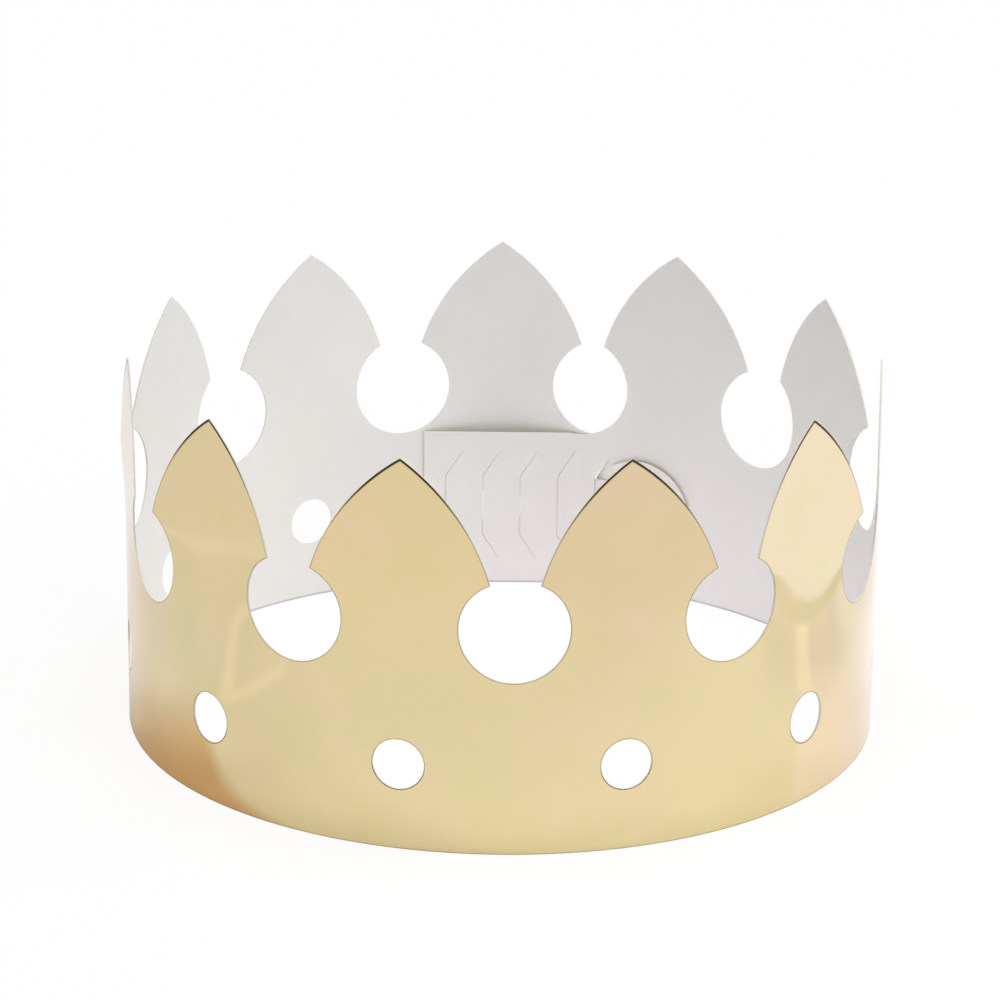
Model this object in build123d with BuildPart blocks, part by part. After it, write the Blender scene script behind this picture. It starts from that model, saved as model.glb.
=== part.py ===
"""A paper crown: one die-cut strip of foil-faced card, rolled into a ring.

The strip carries eleven pointed arches. Its two ends overlap at the back: the
last end lies outside and has a round-ended tongue, and the first end runs on
inside as a flat tab with a row of bracket slits. The tongue passes through one
slit and lies against the inside of the ring.

Millimetres, +Z up. The origin is the middle of the ring at the bottom edge,
the front is -Y and the overlap is at +Y.
"""

from build123d import *
from math import asin, cos, pi, radians, sin, sqrt, tan
import os

# The card and the row of points, as they are cut flat
card = 0.4
point_count = 11
point_pitch = 54.75
point_height = 97.4
arch_radius = 53.0

# The large round holes, one between each two points, open at the top
hole_radius = 13.1
hole_height = 56.6
mouth_gap = 11.0

# The small round holes, one under each point
eyelet_radius = 6.35
eyelet_height = 21.6

# The flat tab at the first end, with its row of bracket slits
tab_length = 42.8
slit_count = 4
slit_pitch = 10.3
slit_middle = 22.6
slit_height = 31.4
slit_straight = 17.2
slit_slant = 4.6
slit_kerf = 0.3

# The slit in use, and the tongue at the last end that passes through it
used_slit_to_point = 23.0
root_to_point = 26.0
root_to_slit = 0.4
tongue_length = 29.1
tongue_head_radius = 15.2
tongue_neck = 16.4

# How the rolled card lies
lap_clearance = 0.2
point_lean = 0.95
band_above_hole = 0.3

# The ring's size follows from the strip: ten pitches and a shorter one at the overlap
seam_pitch = root_to_point + root_to_slit + used_slit_to_point
girth = (point_count - 1) * point_pitch + seam_pitch
lap = card + lap_clearance

# The band ends just above the bottom of the holes, and the shoulders lie on their rims
band_height = hole_height - hole_radius + band_above_hole
shoulder_reach = (point_pitch - mouth_gap) / 2
shoulder_height = hole_height + sqrt(hole_radius**2 - (mouth_gap / 2) ** 2)
arch_foot = shoulder_height - hole_radius / 12
foot_reach = point_pitch / 2 - hole_radius / 12
wall_depth = hole_radius / 2


class Run:
    """Half of the rolled strip, as a circle that its middle surface follows.

    A place on it is the length along the card from the middle of the back,
    clockwise as seen from above.
    """

    def __init__(self, radius, centre_y):
        self.radius = radius
        self.centre_y = centre_y
        self.half_turn = pi * radius

    def outwards(self, place):
        angle = place / self.radius
        return Vector(sin(angle), cos(angle), 0)

    def point(self, place, inwards=0.0):
        return Vector(0, self.centre_y, 0) + self.outwards(place) * (self.radius - inwards)

    def wall(self, place, height=0.0):
        """The plane that touches the card: x back along the strip, y up, z outwards."""
        out = self.outwards(place)
        origin = self.point(place) + Vector(0, 0, height)
        return Plane(origin=origin, x_dir=Vector(-out.Y, out.X, 0), z_dir=out)

    def arc(self, start, end, inwards=0.0):
        places = (start, (start + end) / 2, end)
        return ThreePointArc(*[self.point(place, inwards) for place in places])


# Two half circles, one card apart at the back, make the strip a spiral of one turn
outer_run = Run(girth / (2 * pi) + lap / 4, 0)
inner_run = Run(outer_run.radius - lap / 2, -lap / 2)


def on_ring(steps):
    """The run and the place that lie this many pitches back from the last point."""
    back = steps * point_pitch
    if back <= outer_run.half_turn:
        return outer_run, -back
    return inner_run, girth - back


def chord_end(run, start, length, inwards, turn):
    """Where a straight stretch from a place ends, when its end touches the same circle."""
    radius = run.radius - inwards
    return start + turn * run.radius * 2 * asin(length / (2 * radius))


# The outline of one point: a pointed arch on a foot as wide as the holes leave it
half_reach = shoulder_reach / 2
half_rise = (point_height - shoulder_height) / 2
half_chord = sqrt(half_reach**2 + half_rise**2)
set_back = sqrt(arch_radius**2 - half_chord**2)
arch_centre_x = set_back * half_rise / half_chord - half_reach
arch_centre_y = point_height - half_rise - set_back * half_reach / half_chord

with BuildSketch() as arch:
    with Locations((-arch_centre_x, arch_centre_y)):
        Circle(arch_radius)
    with Locations((arch_centre_x, arch_centre_y)):
        Circle(arch_radius, mode=Mode.INTERSECT)
    with Locations((0, arch_foot)):
        Rectangle(
            4 * arch_radius, 4 * arch_radius, align=(Align.CENTER, Align.MAX), mode=Mode.SUBTRACT
        )
        Rectangle(2 * foot_reach, arch_foot, align=(Align.CENTER, Align.MAX))


def build_point(steps):
    """A point of the crown: its foot is curved as the ring is, its arch is flat."""
    run, place = on_ring(steps)
    wall = run.wall(place)
    up = Vector(0, 0, cos(radians(point_lean))) - wall.z_dir * sin(radians(point_lean))

    with BuildPart() as point:
        with BuildSketch(Plane.XY.offset(band_height)):
            with BuildLine():
                inside = run.arc(place - foot_reach, place + foot_reach, card / 2)
                outside = run.arc(place - foot_reach, place + foot_reach, -card / 2)
                Line(inside @ 0, outside @ 0)
                Line(inside @ 1, outside @ 1)
            make_face()
        for height in (arch_foot, point_height + card):
            rise = height - band_height
            level = wall.origin + Vector(0, 0, height) - wall.z_dir * rise * tan(radians(point_lean))
            with BuildSketch(Plane(origin=level, x_dir=wall.x_dir, z_dir=up)):
                Rectangle(2 * foot_reach, card)
        loft(ruled=True)
        with BuildSketch(wall):
            add(arch.sketch)
        extrude(amount=wall_depth, both=True, mode=Mode.INTERSECT)
    return point.part


points = [build_point(steps) for steps in range(point_count)]

# The outer half: from the front round the left side to the last end
with BuildPart() as outer_half:
    with BuildSketch():
        with BuildLine():
            outer_run.arc(-outer_run.half_turn, root_to_point)
        trace(line_width=card)
    extrude(amount=band_height)
    for steps, point in enumerate(points):
        if on_ring(steps)[0] is outer_run:
            add(point)
    with BuildSketch(outer_run.wall(point_pitch / 2, hole_height)):
        Circle(hole_radius)
    extrude(amount=wall_depth, both=True, mode=Mode.SUBTRACT)

# The inner half: from the tab, which stays flat, round the right side to the front
tab_root = seam_pitch - point_pitch / 2
tab_tip = chord_end(inner_run, tab_root, tab_length, 0, -1)
used_slit = seam_pitch - used_slit_to_point
flap_hinge = used_slit + slit_slant

root_point = inner_run.point(tab_root)
along_tab = (inner_run.point(tab_tip) - root_point).normalized()
tab_wall = Plane(origin=root_point, x_dir=along_tab, z_dir=along_tab.cross(Vector(0, 0, 1)))

hinge_wall = inner_run.wall(flap_hinge, slit_middle)
flap_angle = asin((2 * lap + lap_clearance) / slit_slant)
flap_wall = Plane(
    origin=hinge_wall.origin,
    x_dir=hinge_wall.x_dir * cos(flap_angle) + hinge_wall.z_dir * sin(flap_angle),
    z_dir=hinge_wall.z_dir * cos(flap_angle) - hinge_wall.x_dir * sin(flap_angle),
)

with BuildPart() as inner_half:
    with BuildSketch():
        with BuildLine():
            Line(inner_run.point(tab_tip), root_point)
            inner_run.arc(tab_root, inner_run.half_turn)
        trace(line_width=card)
    extrude(amount=band_height)
    for steps, point in enumerate(points):
        if on_ring(steps)[0] is inner_run:
            add(point)
    with BuildSketch(inner_run.wall(tab_root, hole_height)):
        Circle(hole_radius)
    extrude(amount=wall_depth, both=True, mode=Mode.SUBTRACT)

    # Bracket slits in the tab: upright in the middle, both ends slanting to the ring
    with BuildSketch(tab_wall):
        for number in range(1, slit_count + 1):
            upright = tab_root - used_slit + number * slit_pitch
            with BuildLine():
                Polyline(
                    (upright - slit_slant, slit_middle + slit_height / 2),
                    (upright, slit_middle + slit_straight / 2),
                    (upright, slit_middle - slit_straight / 2),
                    (upright - slit_slant, slit_middle - slit_height / 2),
                )
            trace(line_width=slit_kerf)
    extrude(amount=card, both=True, mode=Mode.SUBTRACT)

    # The slit in use: its flap is pushed outwards and leaves a window for the tongue
    with BuildSketch(inner_run.wall(used_slit, slit_middle)):
        with BuildLine():
            Polyline(
                (slit_kerf / 2, slit_straight / 2),
                (slit_kerf / 2, -slit_straight / 2),
                (-slit_slant, -slit_height / 2),
                (-slit_slant, slit_height / 2),
                close=True,
            )
        make_face()
    extrude(amount=wall_depth, both=True, mode=Mode.SUBTRACT)
    with BuildSketch(flap_wall):
        with BuildLine():
            Polyline(
                (-card / 2, slit_height / 2 - slit_kerf),
                (slit_slant - slit_kerf / 2, slit_straight / 2 - slit_kerf),
                (slit_slant - slit_kerf / 2, -slit_straight / 2 + slit_kerf),
                (-card / 2, -slit_height / 2 + slit_kerf),
                close=True,
            )
        make_face()
    extrude(amount=card / 2, both=True)

# The tongue: from the end of the outer half through the window, then flat inside
bend_place = flap_hinge + card / 2
tongue_root = outer_run.point(root_to_point)
tongue_bend = inner_run.point(bend_place, lap)
tongue_flat = tongue_length - (tongue_bend - tongue_root).length
tongue_tip = inner_run.point(chord_end(inner_run, bend_place, tongue_flat, lap, 1), lap)
along_tongue = (tongue_tip - tongue_bend).normalized()
tongue_wall = Plane(
    origin=tongue_bend + Vector(0, 0, slit_middle),
    x_dir=along_tongue,
    z_dir=along_tongue.cross(Vector(0, 0, 1)),
)

with BuildPart() as tongue:
    with BuildSketch():
        with BuildLine():
            outer_run.arc(root_to_point - 2 * card, root_to_point)
            Line(tongue_root, tongue_bend)
            Line(tongue_bend, tongue_tip)
        trace(line_width=card)
    extrude(amount=band_height)
    with BuildSketch(tongue_wall):
        with Locations((tongue_flat - tongue_head_radius, 0)):
            Circle(tongue_head_radius)
        with Locations((card, 0)):
            Rectangle(
                tongue_length, band_height, align=(Align.MAX, Align.CENTER), mode=Mode.SUBTRACT
            )
            Rectangle(tongue_length, tongue_neck, align=(Align.MAX, Align.CENTER))
    extrude(amount=wall_depth, both=True, mode=Mode.INTERSECT)

# Every hole between two points, and the eyelet under each point
with BuildPart() as punches:
    for steps in range(point_count - 1):
        run, place = on_ring(steps + 0.5)
        with BuildSketch(run.wall(place, hole_height)):
            Circle(hole_radius)
        extrude(amount=wall_depth, both=True)
    for steps in range(point_count):
        run, place = on_ring(steps)
        with BuildSketch(run.wall(place, eyelet_height)):
            Circle(eyelet_radius)
        extrude(amount=2 * card, both=True)

with BuildPart() as crown:
    add(outer_half.part)
    add(inner_half.part)
    add(punches.part, mode=Mode.SUBTRACT)
    add(tongue.part)

crown.part.label = "crown"
os.makedirs("parts", exist_ok=True)
export_step(crown.part, "parts/crown.step")
print("solids", len(crown.part.solids()), "valid", crown.part.is_valid, "volume", crown.part.volume)
print(crown.part.bounding_box(), "faces", len(crown.part.faces()))
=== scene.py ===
# %% [markdown]
# # A paper crown in foil card
#
# The object is one die-cut strip of card, gold foil outside and plain white inside. It is rolled
# into a ring, and a tongue at one end is pushed through a slit in the other. The CAD model holds
# the true size and place, in metres. Here the same strip is cut flat and rolled again, with a mesh
# fine enough for foil, because every facet would show in a metallic reflection.

import math

import bpy
from mathutils import Matrix, Vector


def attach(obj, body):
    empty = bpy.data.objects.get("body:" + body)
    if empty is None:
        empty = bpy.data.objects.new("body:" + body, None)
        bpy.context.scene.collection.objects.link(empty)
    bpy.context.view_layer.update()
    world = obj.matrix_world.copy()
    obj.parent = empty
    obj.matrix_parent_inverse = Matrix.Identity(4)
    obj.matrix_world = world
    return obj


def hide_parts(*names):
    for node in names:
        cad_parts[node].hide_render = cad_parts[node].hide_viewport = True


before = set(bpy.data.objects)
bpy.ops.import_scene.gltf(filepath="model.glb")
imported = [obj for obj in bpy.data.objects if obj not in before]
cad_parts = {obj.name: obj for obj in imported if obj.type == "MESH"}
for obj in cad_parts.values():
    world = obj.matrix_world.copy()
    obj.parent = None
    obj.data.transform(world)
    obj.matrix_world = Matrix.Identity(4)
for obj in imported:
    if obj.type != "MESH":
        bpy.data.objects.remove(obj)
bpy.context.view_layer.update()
MM = 0.001

# %% [markdown]
# ## The camera
#
# A long lens, a metre away, keeps a product shot calm: near and far points of the crown differ
# little in size. The view is from a little above, so the white inside of the back shows over the
# front. Lengths are in metres, angles in radians and places on the picture in pixels.

# %% Camera
PHOTO_SIDE = 1001
CENTRE_PIXEL = (502.6, 531.4)
FOCAL_PIXELS = 4264.6
SENSOR = 36
AIM = Vector((0, 0, 0.0475))
VIEW_DISTANCE = 1.0845
VIEW_DOWN = 0.3406
VIEW_ROLL = 0.0125
VIEW_TURN = -0.0097
FAR_CLIP = 20

camera_data = bpy.data.cameras.new("photo_camera")
camera = bpy.data.objects.new("photo_camera", camera_data)
bpy.context.scene.collection.objects.link(camera)
camera_data.sensor_width = SENSOR
camera_data.lens = FOCAL_PIXELS / PHOTO_SIDE * SENSOR
camera_data.shift_x = (PHOTO_SIDE / 2 - CENTRE_PIXEL[0]) / PHOTO_SIDE
camera_data.shift_y = (CENTRE_PIXEL[1] - PHOTO_SIDE / 2) / PHOTO_SIDE
camera_data.clip_end = FAR_CLIP
turn = Matrix.Rotation(VIEW_TURN, 4, "Z")
tilt = Matrix.Rotation(math.pi / 2 - VIEW_DOWN, 4, "X") @ Matrix.Rotation(VIEW_ROLL, 4, "Z")
back_off = Vector((0, -math.cos(VIEW_DOWN), math.sin(VIEW_DOWN))) * VIEW_DISTANCE
camera.matrix_world = turn @ Matrix.Translation(AIM + back_off) @ tilt
bpy.context.scene.camera = camera
print("lens", round(camera_data.lens, 1), "mm at", round(VIEW_DISTANCE, 3), "m")

# %% [markdown]
# ## The strip, as it is cut flat
#
# A die cuts the whole crown from one sheet, so the mesh starts as that sheet, and these are the
# sizes of the die. Length runs back from the middle of the last point, so the first point lies ten
# pitches along. The slits are as thin as the blade.

# %% Cutting sizes
CARD = 0.4 * MM
POINTS = 11
PITCH = 54.75 * MM
POINT_HEIGHT = 97.4 * MM
ARCH_RADIUS = 53 * MM
HOLE_RADIUS = 13.1 * MM
HOLE_HEIGHT = 56.6 * MM
MOUTH_GAP = 11 * MM
BAND_ABOVE_HOLE = 0.3 * MM
EYELET_RADIUS = 6.35 * MM
EYELET_HEIGHT = 21.6 * MM
TAB_LENGTH = 42.8 * MM
SPARE_SLITS = 4
SLIT_PITCH = 10.3 * MM
SLIT_MIDDLE = 22.6 * MM
SLIT_HEIGHT = 31.4 * MM
SLIT_STRAIGHT = 17.2 * MM
SLIT_SLANT = 4.6 * MM
SLIT_KERF = 0.08 * MM
USED_SLIT_TO_POINT = 23 * MM
ROOT = 26 * MM
ROOT_TO_SLIT = 0.4 * MM
TONGUE_LENGTH = 29.1 * MM
TONGUE_HEAD = 15.2 * MM
TONGUE_NECK = 16.4 * MM
LAP_CLEARANCE = 0.2 * MM
print(POINTS, "points,", round(PITCH / MM, 2), "mm apart")

# %% [markdown]
# ## What follows from the sizes
#
# The band ends just above the bottom of the holes. The shoulders lie on the rims of the holes, and
# each point is flat from a little below them. Where the two ends overlap, the slit in use lies
# beside the root of the tongue, and that makes the pitch over the seam shorter than the others.

# %% Sizes that follow
BAND = HOLE_HEIGHT - HOLE_RADIUS + BAND_ABOVE_HOLE
SHOULDER_X = (PITCH - MOUTH_GAP) / 2
SHOULDER_Z = HOLE_HEIGHT + math.sqrt(HOLE_RADIUS**2 - (MOUTH_GAP / 2) ** 2)
FOOT_DROP = HOLE_RADIUS / 12
ARCH_FOOT = SHOULDER_Z - FOOT_DROP
FIRST_POINT = (POINTS - 1) * PITCH
TAB_ROOT = FIRST_POINT + PITCH / 2
TAB_END = TAB_ROOT + TAB_LENGTH
USED_SLIT = FIRST_POINT + USED_SLIT_TO_POINT
FLAP_HINGE = USED_SLIT - SLIT_SLANT
SEAM_PITCH = ROOT + ROOT_TO_SLIT + USED_SLIT_TO_POINT
GIRTH = FIRST_POINT + SEAM_PITCH
LAP = CARD + LAP_CLEARANCE
print("strip", round((TAB_END + ROOT + TONGUE_LENGTH) / MM), "mm long")

# %% [markdown]
# ## The ring it will make
#
# The strip makes one turn of a spiral: two half circles that meet without a step at the front, and
# at the back lie a little more than a card apart. So the two layers of the overlap stay clear of
# each other.

# %% Ring
class Run:
    """Half of the turn: a circle, with the length along the card measured from the back."""

    def __init__(self, radius, centre_y):
        self.radius = radius
        self.centre_y = centre_y

    def outwards(self, place):
        return Vector((math.sin(place / self.radius), math.cos(place / self.radius), 0))

    def point(self, place, inwards=0.0):
        return Vector((0, self.centre_y, 0)) + self.outwards(place) * (self.radius - inwards)


outer_run = Run(GIRTH / (2 * math.pi) + LAP / 4, 0)
inner_run = Run(outer_run.radius - LAP / 2, -LAP / 2)


def run_at(length):
    """The run and the place on it for a length back from the last point."""
    if length <= math.pi * outer_run.radius:
        return outer_run, -length
    return inner_run, GIRTH - length


print("ring", round(2 * outer_run.radius / MM, 1), "mm across")

# %% [markdown]
# ## Where the closure lies
#
# The tab stays flat. The tongue slants inwards through the slit in use and then lies flat, and the
# flap of that slit is pushed outwards. All of these are straight stretches, each with a start and
# a direction that are known from the ring alone, before anything is drawn.

# %% Tab, tongue and flap
def ahead(run, start, length, inwards, turn):
    """A straight stretch from a place: its start, and its direction to the same circle."""
    radius = run.radius - inwards
    end = start + turn * run.radius * 2 * math.asin(length / (2 * radius))
    begin = run.point(start, inwards)
    return begin, (run.point(end, inwards) - begin).normalized()


tab_start, tab_way = ahead(inner_run, GIRTH - TAB_ROOT, TAB_LENGTH, 0, -1)
tongue_root = outer_run.point(ROOT)
bend_place = GIRTH - FLAP_HINGE + CARD / 2
tongue_slant = (inner_run.point(bend_place, LAP) - tongue_root).length
tongue_flat = TONGUE_LENGTH - tongue_slant
bend_start, tongue_way = ahead(inner_run, bend_place, tongue_flat, LAP, 1)
hinge = inner_run.point(GIRTH - FLAP_HINGE)
hinge_out = inner_run.outwards(GIRTH - FLAP_HINGE)
hinge_way = Vector((-hinge_out.y, hinge_out.x, 0))
flap_turn = math.asin((2 * LAP + LAP_CLEARANCE) / SLIT_SLANT)
flap_way = hinge_way * math.cos(flap_turn) + hinge_out * math.sin(flap_turn)
print("the tongue slants for", round(tongue_slant / MM, 1), "mm")
print("the flap opens", round(math.degrees(flap_turn)), "degrees")

# %% [markdown]
# ## The outline of one point
#
# From the tip, a point of the crown is a large arc down to the shoulder and then the rim of the
# hole beside it. Both are round, so a helper gives places along an arc between two angles. Only the
# right half is drawn, since the left half is its mirror image.

# %% One point
OUTLINE_STEP = 1.0 * MM
FEWEST_STEPS = 3
DOWN = 1.5 * math.pi


def arc(centre, radius, start, end):
    """Places along an arc between two angles, both ends counted."""
    count = max(FEWEST_STEPS, round(abs(end - start) * radius / OUTLINE_STEP))
    angles = [start + (end - start) * i / count for i in range(count + 1)]
    return [(centre[0] + radius * math.cos(a), centre[1] + radius * math.sin(a)) for a in angles]


chord = Vector((SHOULDER_X, SHOULDER_Z - POINT_HEIGHT))
set_back = math.sqrt(ARCH_RADIUS**2 - (chord.length / 2) ** 2)
arch_centre = Vector((SHOULDER_X, SHOULDER_Z + POINT_HEIGHT)) / 2
arch_centre += Vector((chord.y, -chord.x)).normalized() * set_back
tip_angle = math.atan2(POINT_HEIGHT - arch_centre.y, -arch_centre.x)
shoulder_angle = math.atan2(SHOULDER_Z - arch_centre.y, SHOULDER_X - arch_centre.x)
arch_side = arc(arch_centre, ARCH_RADIUS, tip_angle, shoulder_angle)
rim_start = math.atan2(SHOULDER_Z - HOLE_HEIGHT, SHOULDER_X - PITCH / 2)


def point_side(rim_end):
    """The right half of a point, from its tip to an angle on the rim of the hole."""
    return arch_side + arc((PITCH / 2, HOLE_HEIGHT), HOLE_RADIUS, rim_start, rim_end)[1:]


print(len(arch_side), "places from a tip to a shoulder")

# %% [markdown]
# ## The edge of the whole strip
#
# The top edge is eleven points in a row. The rim beside the last point stops where the strip ends,
# and the rim beside the first point runs on to the top edge of the tab. The tab, the straight
# bottom edge and the tongue, a narrow neck with a round head, close the outline.

# %% Edge of the strip
def mirrored(places):
    return [(-x, y) for x, y in reversed(places)]


def shifted(places, along):
    return [(x + along, y) for x, y in places]


end_angle = DOWN - math.asin((PITCH / 2 - ROOT) / HOLE_RADIUS)
tab_angle = DOWN + math.acos((HOLE_HEIGHT - BAND) / HOLE_RADIUS)
top_edge = []
for number in range(POINTS):
    left = mirrored(point_side(end_angle if number == 0 else DOWN))
    right = point_side(tab_angle if number == POINTS - 1 else DOWN)
    whole = shifted(left + right[1:], number * PITCH)
    top_edge += whole if number == 0 else whole[1:]

half_neck = TONGUE_NECK / 2
ear_x = -ROOT - tongue_slant - CARD
head_x = -ROOT - TONGUE_LENGTH + TONGUE_HEAD
ear_angle = math.acos((ear_x - head_x) / TONGUE_HEAD)
head = arc((head_x, SLIT_MIDDLE), TONGUE_HEAD, 2 * math.pi - ear_angle, ear_angle)
strip_outline = top_edge + [(TAB_END, BAND), (TAB_END, 0), (-ROOT, 0)]
strip_outline += [(-ROOT, SLIT_MIDDLE - half_neck), (ear_x, SLIT_MIDDLE - half_neck)]
strip_outline += head + [(ear_x, SLIT_MIDDLE + half_neck), (-ROOT, SLIT_MIDDLE + half_neck)]
print(len(strip_outline), "places round the strip")

# %% [markdown]
# ## The cuts inside it
#
# Two kinds of cut lie inside that edge: an eyelet under each point, and the bracket slits. A slit
# is upright in the middle and slants at both ends. Its outline goes down its outer side and back up
# its inner side. The first slit is the one in use, and the others are spare.

# %% Eyelets and slits
eyelet = arc((0, EYELET_HEIGHT), EYELET_RADIUS, 0, 2 * math.pi)[:-1]
eyelets = [shifted(eyelet, number * PITCH) for number in range(POINTS)]

tall = SLIT_HEIGHT / 2
straight = SLIT_STRAIGHT / 2
blade = SLIT_KERF / 2
slit_half = [(-SLIT_SLANT, tall), (blade, straight)]
flap_half = [(-blade, straight - SLIT_KERF), (-SLIT_SLANT, tall - SLIT_KERF)]
slit = slit_half + [(x, -y) for x, y in reversed(slit_half)]
slit += [(x, -y) for x, y in reversed(flap_half)] + flap_half
slit = [(x, y + SLIT_MIDDLE) for x, y in slit]
slits = [shifted(slit, USED_SLIT + number * SLIT_PITCH) for number in range(SPARE_SLITS + 1)]
print(len(eyelets), "eyelets and", len(slits), "slits")

# %% [markdown]
# ## The flat sheet
#
# A plain polygon can't have holes, but a filled 2D curve can: it turns all those outlines into one
# sheet. The curve is then converted, since only a mesh can be cut and rolled.

# %% Flat sheet
sheet_curve = bpy.data.curves.new("crown_sheet", "CURVE")
sheet_curve.dimensions = "2D"
sheet_curve.fill_mode = "FRONT"
for outline in [strip_outline] + eyelets + slits:
    spline = sheet_curve.splines.new("POLY")
    spline.points.add(len(outline) - 1)
    for target, (x, y) in zip(spline.points, outline):
        target.co = (x, y, 0, 1)
    spline.use_cyclic_u = True

bpy.ops.object.select_all(action="DESELECT")
crown = bpy.data.objects.new("crown_card", sheet_curve)
bpy.context.scene.collection.objects.link(crown)
bpy.context.view_layer.objects.active = crown
crown.select_set(True)
bpy.ops.object.convert(target="MESH")
crown = bpy.context.object
print(len(crown.data.polygons), "faces in the plain sheet")

# %% [markdown]
# ## Lines to bend along
#
# A mesh bends only at its edges, so many straight lines are cut through the sheet: upright ones
# where the card will curve, and level ones, which lie closest above the band, where each point goes
# from curved to flat. Without them the roll would show corners.

# %% Lines to bend along
UPRIGHT_STEP = 2.5 * MM
BAND_STEP = 7.3 * MM
FOOT_STEP = 3.0 * MM
ARCH_STEP = 6.0 * MM
TINY = 0.01 * MM


def grid_lines(start, end, step):
    count = max(1, round((end - start) / step))
    return [start + (end - start) * i / count for i in range(count + 1)]


upright = grid_lines(-ROOT - tongue_slant, -ROOT, UPRIGHT_STEP)
for first, last in ((-ROOT, FLAP_HINGE), (FLAP_HINGE, TAB_ROOT), (TAB_ROOT, TAB_END)):
    upright += grid_lines(first, last, UPRIGHT_STEP)[1:]
level = grid_lines(0, BAND, BAND_STEP)[1:]
level += grid_lines(BAND, ARCH_FOOT, FOOT_STEP)[1:]
level += grid_lines(ARCH_FOOT, POINT_HEIGHT, ARCH_STEP)[1:]

bpy.ops.object.mode_set(mode="EDIT")
for x in upright[:-1]:
    bpy.ops.mesh.select_all(action="SELECT")
    bpy.ops.mesh.bisect(plane_co=(x, 0, 0), plane_no=(1, 0, 0))
for y in level[:-1]:
    bpy.ops.mesh.select_all(action="SELECT")
    bpy.ops.mesh.bisect(plane_co=(0, y, 0), plane_no=(0, 1, 0))
bpy.ops.mesh.select_all(action="SELECT")
bpy.ops.mesh.remove_doubles(threshold=TINY)
bpy.ops.object.mode_set(mode="OBJECT")
signed_area = sum((face.normal.z * face.area for face in crown.data.polygons), 0.0)
if signed_area < 0:
    crown.data.flip_normals()
print(len(crown.data.polygons), "faces,", round(abs(signed_area) / MM**2), "square mm of card")

# %% [markdown]
# ## Where it lies in the strip
#
# The finish needs to know each spot's place on the flat sheet: the foil darkens at a cut edge, and
# the distance to an edge is simple to work out while the sheet is flat. A UV map keeps that place,
# in decimetres along and up.

# %% Sheet coordinates
DECIMETRE = 0.1
sheet_place = crown.data.uv_layers.new(name="sheet_place")
for loop in crown.data.loops:
    at = crown.data.vertices[loop.vertex_index].co
    sheet_place.data[loop.index].uv = (at.x / DECIMETRE, at.y / DECIMETRE)
print("UV map", sheet_place.name)

# %% [markdown]
# ## Points that stand flat
#
# Card bends one way only. So each point is curved at its foot, where it still belongs to the band,
# and flat from where its free edges start. It also leans in a little, as the free points of a
# rolled crown do, and the lean sets in gently.

# %% From curved to flat
LEAN = math.tan(math.radians(0.95))
LEAN_START = 8 * MM


def on_point(x, y, curved):
    """Where a spot above the band goes: from the curve of the ring to a flat, leaning point."""
    middle = min(max(round(x / PITCH), 0), POINTS - 1) * PITCH
    run, place = run_at(middle)
    out = run.outwards(place)
    way = Vector((-out.y, out.x, 0))
    flat = run.point(place) + way * (x - middle)
    share = min((y - BAND) / (ARCH_FOOT - BAND), 1)
    eased = share * share * (3 - 2 * share)
    rise = y - BAND
    gentle = rise * rise / (2 * LEAN_START) if rise < LEAN_START else rise - LEAN_START / 2
    return curved.lerp(flat, eased) - out * gentle * LEAN


tip_lean = (POINT_HEIGHT - BAND - LEAN_START / 2) * LEAN
print("the tips lean in by", round(tip_lean / MM, 1), "mm")

# %% [markdown]
# ## Rolling the sheet
#
# Rolling is one rule for every vertex: its place on the flat sheet says where it goes. The tongue,
# the tab and the flap of the slit in use follow their own straight stretches, and all the rest
# follows the ring.

# %% Roll the strip
def in_flap(x, y):
    """True for a spot on the flap of the slit in use."""
    reach = x - FLAP_HINGE
    if not 0 <= reach <= SLIT_SLANT - blade + TINY:
        return False
    slope = (tall - straight) / (SLIT_SLANT - blade)
    return abs(y - SLIT_MIDDLE) < tall - SLIT_KERF - reach * slope + TINY


def rolled(x, y):
    """Where a spot of the flat sheet goes."""
    if x < -ROOT:
        reach = -ROOT - x
        if reach < tongue_slant:
            spot = tongue_root.lerp(bend_start, reach / tongue_slant)
        else:
            spot = bend_start + tongue_way * (reach - tongue_slant)
    elif x > TAB_ROOT:
        spot = tab_start + tab_way * (x - TAB_ROOT)
    elif in_flap(x, y):
        spot = hinge + flap_way * (x - FLAP_HINGE)
    else:
        run, place = run_at(x)
        spot = run.point(place)
        if y > BAND:
            spot = on_point(x, y, spot)
    return Vector((spot.x, spot.y, y))


for vertex in crown.data.vertices:
    vertex.co = rolled(vertex.co.x, vertex.co.y)
crown.data.update()
print(len(crown.data.vertices), "places rolled")

# %% [markdown]
# ## The thickness of the card
#
# Solidify gives the sheet its 0.4 mm, half to each side. It also gives three material slots their
# places: foil on the outside, white card on the inside and the cut edge all round. Its even offset
# stays off, because at very thin faces it throws long spikes.

# %% Thickness
SMOOTH_UP_TO = math.radians(35)

card = crown.modifiers.new("card", "SOLIDIFY")
card.thickness = CARD
card.offset = 0
card.use_even_offset = False
card.use_rim = True
card.material_offset = 1
card.material_offset_rim = 2
for name in ("gold_foil", "white_card", "cut_edge"):
    crown.data.materials.append(bpy.data.materials.new(name))
bpy.ops.object.modifier_apply(modifier=card.name)
bpy.ops.object.shade_smooth_by_angle(angle=SMOOTH_UP_TO)
print(len(crown.data.polygons), "faces with the thickness")

# %% [markdown]
# ## Helpers for the finish
#
# A finish is a small network of nodes. These helpers keep its lines short: the first adds a node
# and sets or links its inputs, and the others add arithmetic, a mix of two colours, a soft step
# from one value to another and a bump.

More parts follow.
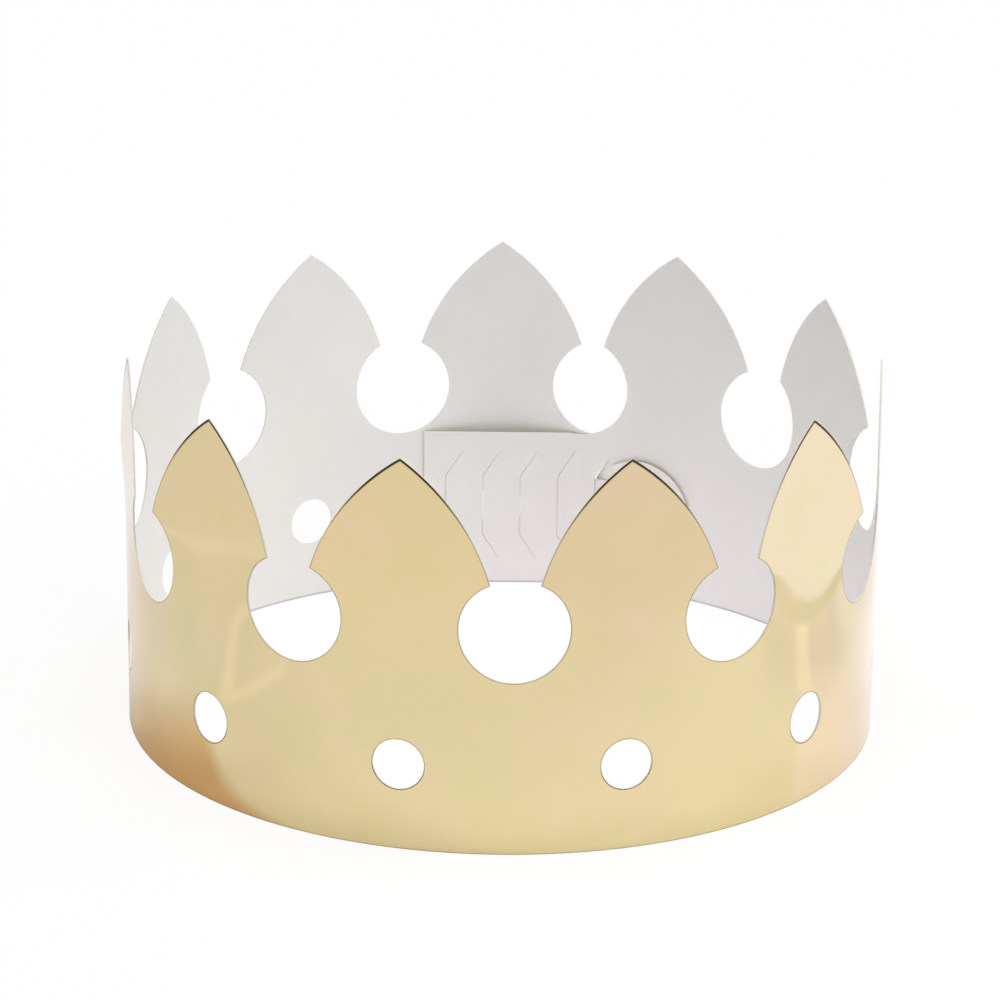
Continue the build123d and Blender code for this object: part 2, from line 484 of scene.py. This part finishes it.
# %% Node helpers
def node(tree, kind, inputs=None, **settings):
    """Adds a node; inputs holds values, or sockets to link, by name or number."""
    made = tree.nodes.new("ShaderNode" + kind)
    for name, value in settings.items():
        setattr(made, name, value)
    for name, value in (inputs or {}).items():
        if isinstance(value, bpy.types.NodeSocket):
            tree.links.new(value, made.inputs[name])
        else:
            made.inputs[name].default_value = value
    return made


def maths(tree, operation, *values):
    return node(tree, "Math", dict(enumerate(values)), operation=operation).outputs[0]


def blend_colour(tree, factor, first, second):
    return node(tree, "Mix", {0: factor, 6: first, 7: second}, data_type="RGBA").outputs[2]


def ramp(tree, value, low, high, to_low=0.0, to_high=1.0):
    inputs = {"Value": value, 1: low, 2: high, 3: to_low, 4: to_high}
    return node(tree, "MapRange", inputs, interpolation_type="SMOOTHSTEP").outputs[0]


def bump(tree, height, strength, depth):
    inputs = {"Strength": strength, "Distance": depth, "Height": height}
    return node(tree, "Bump", inputs)


print("helpers ready")

# %% [markdown]
# ## Effects that materials share
#
# An effect that more than one material uses is built once, as a node group, with sockets that say
# what goes in and what comes out. Each material then places the group and links what it needs.

# %% Group helpers
def new_group(name, inputs, outputs):
    """A new group with its sockets, and the two nodes that stand for them inside it."""
    tree = bpy.data.node_groups.new(name, "ShaderNodeTree")
    for way, sockets in (("INPUT", inputs), ("OUTPUT", outputs)):
        for socket_name, kind in sockets:
            tree.interface.new_socket(socket_name, in_out=way, socket_type="NodeSocket" + kind)
    return tree, tree.nodes.new("NodeGroupInput"), tree.nodes.new("NodeGroupOutput")


def placed(tree, name, given):
    """A group placed in a material, with its one input linked."""
    return node(tree, "Group", {0: given}, node_tree=bpy.data.node_groups[name])


print("group helpers ready")

# %% [markdown]
# ## How near a cut edge is
#
# The foil gets a narrow dark line along every cut, painted as dark reflection and shade. On the
# flat sheet the outline is circles, repeated at every pitch, and the straight lines of the bottom
# and of the end. The distance to them is then a few square roots, and the line stays sharp at any
# zoom. The group counts in millimetres.

# %% Group: distance to the cut
OUT_OF_REACH = 99

group, given, result = new_group(
    "cut_distance", [("Sheet Place", "Vector")], [("Distance", "Float"), ("Height", "Float")]
)
place = node(group, "SeparateXYZ", {0: given.outputs[0]})
along = maths(group, "MULTIPLY", place.outputs[0], DECIMETRE / MM)
height = maths(group, "MULTIPLY", place.outputs[1], DECIMETRE / MM)
nearest_point = maths(group, "ROUND", maths(group, "DIVIDE", along, PITCH / MM))
middle = maths(group, "MULTIPLY", nearest_point, PITCH / MM)
side = maths(group, "ABSOLUTE", maths(group, "SUBTRACT", along, middle))


def from_circle(x, centre_y, radius):
    """How far outside a circle a spot lies."""
    up = maths(group, "SUBTRACT", height, centre_y / MM)
    squares = maths(group, "MULTIPLY_ADD", up, up, maths(group, "MULTIPLY", x, x))
    return maths(group, "SUBTRACT", maths(group, "SQRT", squares), radius / MM)


from_hole = from_circle(maths(group, "SUBTRACT", PITCH / 2 / MM, side), HOLE_HEIGHT, HOLE_RADIUS)
from_eyelet = from_circle(side, EYELET_HEIGHT, EYELET_RADIUS)
arch_x = maths(group, "SUBTRACT", side, arch_centre.x / MM)
from_arch = maths(group, "MULTIPLY", from_circle(arch_x, arch_centre.y, ARCH_RADIUS), -1)
above = maths(group, "GREATER_THAN", height, HOLE_HEIGHT / MM)
below = maths(group, "MULTIPLY", maths(group, "SUBTRACT", 1, above), OUT_OF_REACH)
from_arch = maths(group, "ADD", from_arch, below)
from_end = maths(group, "ABSOLUTE", maths(group, "ADD", along, ROOT / MM))
nearest = from_hole
for distance in (from_eyelet, from_arch, height, from_end):
    nearest = maths(group, "MINIMUM", nearest, distance)
group.links.new(nearest, result.inputs[0])
group.links.new(height, result.inputs[1])
print(len(group.nodes), "nodes in the distance group")

# %% [markdown]
# ## The surface of card
#
# Foil card is paper underneath. Its fibres show as a very fine tooth, and the sheet is never quite
# flat after rolling: wide, shallow waves bend the reflections. All faces of the card share this
# relief, so it is one group that gives fibres, waves and a slow drift of the tint apart.

# %% Group: card relief
SCALE_AND_DETAIL = {"Fibres": (1400.0, 3.0), "Waves": (24.0, 1.0), "Tint": (60.0, 4.0)}

group, given, result = new_group(
    "card_relief", [("Place", "Vector")], [(name, "Float") for name in SCALE_AND_DETAIL]
)
for name, (scale, detail) in SCALE_AND_DETAIL.items():
    inputs = {"Vector": given.outputs[0], "Scale": scale, "Detail": detail}
    noise = node(group, "TexNoise", inputs)
    group.links.new(noise.outputs[0], result.inputs[name])
print("the relief group gives", ", ".join(SCALE_AND_DETAIL))

# %% [markdown]
# ## How every finish starts
#
# The three materials differ in colour and gloss, but each is a Principled shader on the same
# relief, with its pattern fixed to the object. One function makes that start, and another places
# the distance group, which reads the UV map of the flat sheet.

# %% Start of a material
def start_finish(name):
    """A material's tree with its relief and its shader."""
    material = bpy.data.materials[name]
    material.use_nodes = True
    tree = material.node_tree
    relief = placed(tree, "card_relief", node(tree, "TexCoord").outputs["Object"])
    return tree, relief, tree.nodes["Principled BSDF"]


def cut_distance(tree):
    """The distance group, linked to a spot's place on the flat sheet."""
    return placed(tree, "cut_distance", node(tree, "UVMap", uv_map="sheet_place").outputs[0])


print(len(crown.data.materials), "materials to finish")

# %% [markdown]
# ## Gold foil: the painted line along the cuts
#
# The line is painted dark reflection and shade. It is widest and darkest at the tips, as a painted
# dark reflection, and it is dark again on the lower rims of the small holes, as painted shade. Each
# pair below is a value low down and one high up, or near and far, and the heights and widths are in
# millimetres.

# %% Line on the foil
WIDER_FROM_TO = (76.0, 94.0)
LINE_WIDTH = (0.3, 0.75)
LINE_FADES = (0.5, 1.0)
DARKER_FROM_TO = (76.0, 93.0)
EDGE_SHADE_DEPTH = (0.45, 0.97)
LOW_RIM_HEIGHT = 16.0
LOW_RIM_REACH = (2.0, 6.0)
LOW_RIM_SHADE_DEPTH = (0.85, 0.45)

tree, relief, shader = start_finish("gold_foil")
cut = cut_distance(tree)
line_width = ramp(tree, cut.outputs["Height"], *WIDER_FROM_TO, *LINE_WIDTH)
line = maths(tree, "DIVIDE", cut.outputs["Distance"], line_width)
line = ramp(tree, line, *LINE_FADES, 1.0, 0.0)
depth = ramp(tree, cut.outputs["Height"], *DARKER_FROM_TO, *EDGE_SHADE_DEPTH)
# painted shade on the lower rims of the small holes
from_low_rim = maths(tree, "SUBTRACT", cut.outputs["Height"], LOW_RIM_HEIGHT)
low_rim_shade = ramp(tree, maths(tree, "ABSOLUTE", from_low_rim), *LOW_RIM_REACH, *LOW_RIM_SHADE_DEPTH)
line = maths(tree, "MULTIPLY", line, maths(tree, "MAXIMUM", depth, low_rim_shade))
print("line of", LINE_WIDTH[0], "to", LINE_WIDTH[1], "mm")

# %% [markdown]
# ## Gold foil: colour and gloss
#
# The foil is a metal film under a thin clear lacquer. The metal gives the pale gold and the soft
# reflection, and the lacquer adds a paler glint where the card turns away from the eye. The tint
# drifts a little between greenish and pinkish gold, as rolled foil does. The line has no lacquer.
# A bump, for the tooth of the fibres or for the waves, is given as its strength and its depth.

# %% Gold foil
GOLD_GREENISH = (0.73, 0.622, 0.34, 1)
GOLD_PINKISH = (0.76, 0.622, 0.37, 1)
GOLD_DRIFT = (0.3, 0.7)
# colour of the painted dark line: dark reflection at the tips, shade on the hole rims
EDGE_SHADE_COLOUR = (0.03, 0.018, 0.008, 1)
FOIL_ROUGHNESS = (0.07, 0.1)
ROUGHNESS_DRIFT = (0.2, 0.8)
LINE_ROUGHER = 0.4
LACQUER = 0.5
LACQUER_ROUGHNESS = 0.06
FOIL_TOOTH = (0.1, 0.05 * MM)
FOIL_WAVES = (0.4, 0.8 * MM)

drift = ramp(tree, relief.outputs["Tint"], *GOLD_DRIFT)
gold = blend_colour(tree, drift, GOLD_GREENISH, GOLD_PINKISH)
# lays the painted dark reflection and shade of the cut line over the gold
tree.links.new(blend_colour(tree, line, gold, EDGE_SHADE_COLOUR), shader.inputs["Base Color"])
shader.inputs["Metallic"].default_value = 1
rough = ramp(tree, relief.outputs["Tint"], *ROUGHNESS_DRIFT, *FOIL_ROUGHNESS)
rough = maths(tree, "MULTIPLY_ADD", line, LINE_ROUGHER, rough)
tree.links.new(rough, shader.inputs["Roughness"])
lacquer = maths(tree, "MULTIPLY_ADD", line, -LACQUER, LACQUER)
tree.links.new(lacquer, shader.inputs["Coat Weight"])
shader.inputs["Coat Roughness"].default_value = LACQUER_ROUGHNESS
tooth = bump(tree, relief.outputs["Fibres"], *FOIL_TOOTH)
waves = bump(tree, relief.outputs["Waves"], *FOIL_WAVES)
tree.links.new(waves.outputs[0], tooth.inputs["Normal"])
tree.links.new(tooth.outputs[0], shader.inputs["Normal"])
print("gold foil:", len(tree.nodes), "nodes")

# %% [markdown]
# ## White card
#
# The inside is plain bleached card: matt, with a faint tooth and a slightly warm white. Where it
# stands on the table, a thin grey line of painted contact shade runs along its bottom edge.

# %% White card
WHITE_LOW = (0.85, 0.838, 0.803, 1)
WHITE_HIGH = (0.885, 0.873, 0.838, 1)
# colour of the painted contact shade along the bottom edge
CONTACT_SHADE_COLOUR = (0.5, 0.5, 0.52, 1)
CONTACT_SHADE_REACH = 0.8
WHITE_ROUGHNESS = 0.62
WHITE_SPECULAR = 0.35
WHITE_TOOTH = (0.25, 0.08 * MM)

tree, relief, shader = start_finish("white_card")
white = blend_colour(tree, relief.outputs["Tint"], WHITE_LOW, WHITE_HIGH)
# painted contact shade over the lowest fraction of a millimetre
contact_shade = ramp(tree, cut_distance(tree).outputs["Height"], 0.0, CONTACT_SHADE_REACH)
white = blend_colour(tree, contact_shade, CONTACT_SHADE_COLOUR, white)
tree.links.new(white, shader.inputs["Base Color"])
shader.inputs["Roughness"].default_value = WHITE_ROUGHNESS
shader.inputs["Specular IOR Level"].default_value = WHITE_SPECULAR
tooth = bump(tree, relief.outputs["Fibres"], *WHITE_TOOTH)
tree.links.new(tooth.outputs[0], shader.inputs["Normal"])
print("white card:", len(tree.nodes), "nodes")

# %% [markdown]
# ## The cut edge
#
# A cut through card shows its cream core, with neither foil nor coating. It is rougher than both
# sides, and darker where the layers of fibres catch shadow, so the fine noise sets its colour too.

# %% Cut edge
CORE_DARK = (0.56, 0.51, 0.43, 1)
CORE_PALE = (0.82, 0.79, 0.72, 1)
CORE_ROUGHNESS = 0.9
CORE_TOOTH = (0.6, 0.1 * MM)

tree, relief, shader = start_finish("cut_edge")
core = blend_colour(tree, relief.outputs["Fibres"], CORE_DARK, CORE_PALE)
tree.links.new(core, shader.inputs["Base Color"])
shader.inputs["Roughness"].default_value = CORE_ROUGHNESS
tooth = bump(tree, relief.outputs["Fibres"], *CORE_TOOTH)
tree.links.new(tooth.outputs[0], shader.inputs["Normal"])
print("cut edge:", len(tree.nodes), "nodes")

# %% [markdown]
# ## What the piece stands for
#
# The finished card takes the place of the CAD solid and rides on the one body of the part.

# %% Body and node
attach(crown, "root")
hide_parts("crown")
print(crown.name, "replaces the solid")

# %% [markdown]
# ## The floor
#
# Seen from above, an upright metal wall mirrors the table near it, so the floor shapes the look of
# the foil more than any lamp. It is a plain pale table, wide enough to have no edge in the picture.

# %% Floor
FLOOR_SIDE = 8
FLOOR_COLOUR = (0.88, 0.88, 0.88, 1)

bpy.ops.object.select_all(action="DESELECT")
bpy.ops.mesh.primitive_plane_add(size=FLOOR_SIDE, location=(0, 0, 0))
floor = bpy.context.object
floor.name = "floor"
material = bpy.data.materials.new("pale_floor")
material.use_nodes = True
floor.data.materials.append(material)
tree = material.node_tree
floor_place = node(tree, "TexCoord").outputs["Object"]
print("floor", FLOOR_SIDE, "m wide")

# %% [markdown]
# ## Masks on the floor
#
# Foil shows what lies round it on a table. Here the floor carries painted light and shade, seen
# only
# in the foil: soft-edged areas, all made from two masks, one side of a line and a strip along a
# line.
# Both come from the distance to a line, which a dot product gives. Places on the floor are in
# millimetres.

# %% Masks
def within(*masks):
    """Where all of the masks hold."""
    found = masks[0]
    for mask in masks[1:]:
        found = maths(tree, "MULTIPLY", found, mask)
    return found


def reach_along(direction):
    """How far each spot of the floor lies in a direction."""
    inputs = {0: floor_place, 1: direction}
    return node(tree, "VectorMath", inputs, operation="DOT_PRODUCT").outputs["Value"]


def line_on_floor(start, end):
    """A line's first place, its way to the last place, and the direction across it."""
    begin = Vector((*start, 0)) * MM
    way = Vector((*end, 0)) * MM - begin
    return begin, way, Vector((-way.y, way.x, 0)).normalized()


def left_of(start, end, soft):
    """1 on the left of a line, seen along it, and 0 on its right."""
    begin, way, across = line_on_floor(start, end)
    edge = begin.dot(across)
    return ramp(tree, reach_along(across), edge - soft * MM, edge + soft * MM)


def strip(start, end, width, soft):
    """1 on a strip from one place to another."""
    begin, way, across = line_on_floor(start, end)
    middle = begin + way / 2
    shares = []
    for direction, half in ((way.normalized(), way.length / 2), (across, width * MM / 2)):
        off = maths(tree, "SUBTRACT", reach_along(direction), middle.dot(direction))
        off = maths(tree, "ABSOLUTE", off)
        shares.append(ramp(tree, off, half - soft * MM, half + soft * MM, 1.0, 0.0))
    return within(*shares)


print("masks ready")

# %% [markdown]
# ## Where the tints lie
#
# Left and right are the sides of the picture, and a border has its tint on its left. On the left
# lie a painted brown shadow, three painted bright strips as highlights and, further back, a
# slightly cooler painted shade. On the right a brighter, cooler area, a painted reflection that is
# lightest near the crown, starts behind a border, with a painted bright strip along it, and an
# olive painted shadow lies at the foot of the card that will stand there. Each border below is two
# places and how soft it is, and each strip has its width before that.

# %% Places of the tints
LEFT_HALF = ((0, 0), (0, 50), 1)
RIGHT_HALF = ((0, 0), (0, -50), 1)
# borders of the painted brown shadow on the left, seen in the foil
SHADE_BORDERS = (
    ((-107, -57), (-68, -73), 4),
    ((-60, -8), (-160, -8), 36),
    ((-118, 0), (-118, -90), 30),
    ((-52, 0), (-52, 50), 8),
)
# border of the slightly cooler painted shade at the back left
COOL_LEFT_BORDER = ((0, 6), (100, 6), 14)
# border of the painted reflection of a brighter, cooler area on the right
COOL_RIGHT_BORDER = ((82, -61), (193, -36), 1.5)
# painted bright strips, highlights seen as streaks in the foil
PAINTED_HIGHLIGHT_STRIPS = (
    ((143, -41), (193, -35), 15, 3),
    ((-200, -74), (-136, -64), 11, 4),
    ((-137, -64), (-150, -120), 8, 3),
    ((-252, 32), (-275, -120), 14, 4),
)
# painted shadow at the foot of the standing card
CARD_FOOT_SHADOW = ((204, -62), (204, 30), 20, 1.5)
FAR_BORDER = ((0, 0), (0, -50), 100)

left_half = left_of(*LEFT_HALF)
right_half = left_of(*RIGHT_HALF)
shade = within(*[left_of(*border) for border in SHADE_BORDERS])
cool_left_shade = within(left_of(*COOL_LEFT_BORDER), left_half)
cool_right = within(left_of(*COOL_RIGHT_BORDER), right_half)
bright = strip(*PAINTED_HIGHLIGHT_STRIPS[0])
for places in PAINTED_HIGHLIGHT_STRIPS[1:]:
    bright = maths(tree, "ADD", bright, strip(*places))
card_foot_shadow = strip(*CARD_FOOT_SHADOW)
print(len(PAINTED_HIGHLIGHT_STRIPS), "bright strips and", len(SHADE_BORDERS), "borders of the shade")

# %% [markdown]
# ## The tints
#
# Near the crown the table is a neutral grey. Further off it is painted lighter and a little warmer
# on the left and darker and a little cooler on the right, painted light and shade that even out the
# key lamp from the right. The areas are then laid over it, one after the other.

# %% Tints
# painted light far off on the left and painted shade far off on the right
FAR_LEFT_LIT = (0.94, 0.895, 0.87, 1)
FAR_RIGHT_SHADED = (0.865, 0.81, 0.86, 1)
FAR_FROM_TO = (0.15, 0.28)
# colour of the painted shadow on the left
BROWN_SHADOW = (0.72, 0.52, 0.385, 1)
# the cool area's painted reflection, lightest near the crown
COOL_NEAR_LIT = (0.94, 0.895, 0.985, 1)
COOL_FAR = (0.86, 0.82, 0.86, 1)
COOL_FROM_TO = (0.12, 0.18)
# colour of the painted shade at the back left
COOL_LEFT_SHADE = (0.88, 0.85, 0.88, 1)
# colour of the painted bright strips
HIGHLIGHT_COLOUR = (1, 0.98, 0.98, 1)
# colour of the painted shadow at the card's foot
OLIVE_SHADOW = (0.78, 0.765, 0.7, 1)

far = node(tree, "VectorMath", {0: floor_place}, operation="LENGTH").outputs["Value"]
far_light_and_shade = blend_colour(tree, left_of(*FAR_BORDER), FAR_LEFT_LIT, FAR_RIGHT_SHADED)
ground = blend_colour(tree, ramp(tree, far, *FAR_FROM_TO), FLOOR_COLOUR, far_light_and_shade)
cool_reflection = blend_colour(tree, ramp(tree, far, *COOL_FROM_TO), COOL_NEAR_LIT, COOL_FAR)
areas = (
    (shade, BROWN_SHADOW),
    (cool_right, cool_reflection),
    (cool_left_shade, COOL_LEFT_SHADE),
    (bright, HIGHLIGHT_COLOUR),
    (card_foot_shadow, OLIVE_SHADOW),
)
for area, colour in areas:
    ground = blend_colour(tree, area, ground, colour)
print(len(tree.nodes), "nodes for the floor's tints")

# %% [markdown]
# ## What the camera sees of it
#
# A cut-out product shot has a white ground with a light shadow. So for the camera the floor has no
# tints, glows white and lets only a little of its true shading through, more near the crown than
# further off.

# %% White ground
GLOW_FROM_TO = (0.13, 0.3)
NEAR_GLOW = 0.85
FAR_GLOW = 0.99
FLOOR_ROUGHNESS = 0.9
FLOOR_SPECULAR = 0.1
WHITE = (1, 1, 1, 1)

seen = node(tree, "LightPath").outputs["Is Camera Ray"]
ground = blend_colour(tree, seen, ground, FLOOR_COLOUR)
shader = tree.nodes["Principled BSDF"]
tree.links.new(ground, shader.inputs["Base Color"])
shader.inputs["Roughness"].default_value = FLOOR_ROUGHNESS
shader.inputs["Specular IOR Level"].default_value = FLOOR_SPECULAR
glow_share = maths(tree, "MULTIPLY", seen, ramp(tree, far, *GLOW_FROM_TO, NEAR_GLOW, FAR_GLOW))
glow = node(tree, "Emission", {"Color": WHITE, "Strength": 1.0})
shown = node(tree, "MixShader", {0: glow_share, 1: shader.outputs[0], 2: glow.outputs[0]})
tree.links.new(shown.outputs[0], tree.nodes["Material Output"].inputs["Surface"])
print("glow", NEAR_GLOW, "near,", FAR_GLOW, "far")

# %% [markdown]
# ## The studio round it
#
# The world gives even light from all sides. What looks straight at it, the camera or the foil, sees
# plain white, and the rest gets a softer level, so that the white card doesn't clip.

# %% World
WORLD_LEVEL = 0.34

world = bpy.data.worlds.new("studio")
bpy.context.scene.world = world
world.use_nodes = True
tree = world.node_tree
path = node(tree, "LightPath").outputs
seen = maths(tree, "ADD", path["Is Camera Ray"], path["Is Glossy Ray"])
seen = maths(tree, "MINIMUM", maths(tree, "ADD", seen, path["Is Transmission Ray"]), 1)
level_now = ramp(tree, seen, 0.0, 1.0, WORLD_LEVEL, 1.0)
tree.links.new(level_now, tree.nodes["Background"].inputs["Strength"])
tree.nodes["Background"].inputs["Color"].default_value = WHITE
print("world", WORLD_LEVEL)

# %% [markdown]
# ## A card beside it
#
# A glowing card stands on the right, out of the picture, for the bright patch on the right point:
# foil shows a card far better than a lamp.

# %% Standing card
CARD_PLACE = (0.216, -0.031, 0.032)
CARD_SIZE = (0.09, 0.064, 1)
CARD_FACES = Vector((-0.98, -0.2, 0))
CARD_COLOUR = (0.87, 0.87, 1, 1)
CARD_GLOW = 1.35

bpy.ops.mesh.primitive_plane_add(size=1, location=CARD_PLACE)
reflector = bpy.context.object
reflector.name = "reflector"
reflector.scale = CARD_SIZE
reflector.rotation_euler = CARD_FACES.to_track_quat("Z", "Y").to_euler()
bpy.ops.object.transform_apply(location=True, rotation=True, scale=True)
reflector.visible_camera = False
material = bpy.data.materials.new("reflector")
material.use_nodes = True
tree = material.node_tree
glow = node(tree, "Emission", {"Color": CARD_COLOUR, "Strength": CARD_GLOW})
tree.links.new(glow.outputs[0], tree.nodes["Material Output"].inputs["Surface"])
reflector.data.materials.append(material)
print("a card of", CARD_SIZE[0], "by", CARD_SIZE[1], "m")

# %% [markdown]
# ## Lamps
#
# One large soft lamp hangs overhead and one small one stands on the right. The small one gives the
# soft shadow on the left and makes the left inside paler than the right. Each lamp below is its
# place, its width in metres, its power in watts and its colour.

# %% Lamps
KEY = ((0.62, -0.02, 0.38), 0.25, 1.35, (0.94, 1, 0.98))
OVERHEAD = ((0, -0.2, 1.5), 1.2, 18, (1, 1, 1))


def softbox(name, place, size, power, colour):
    data = bpy.data.lights.new(name, "AREA")
    data.shape = "SQUARE"
    data.size = size
    data.energy = power
    data.color = colour
    lamp = bpy.data.objects.new(name, data)
    bpy.context.scene.collection.objects.link(lamp)
    lamp.location = place
    lamp.rotation_euler = (AIM - lamp.location).to_track_quat("-Z", "Y").to_euler()


softbox("key", *KEY)
softbox("overhead", *OVERHEAD)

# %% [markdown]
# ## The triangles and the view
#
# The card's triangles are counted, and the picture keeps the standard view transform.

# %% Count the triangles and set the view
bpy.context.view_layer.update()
crown.data.calc_loop_triangles()
print(len(crown.data.loop_triangles), "triangles")
bpy.context.scene.view_settings.view_transform = "Standard"
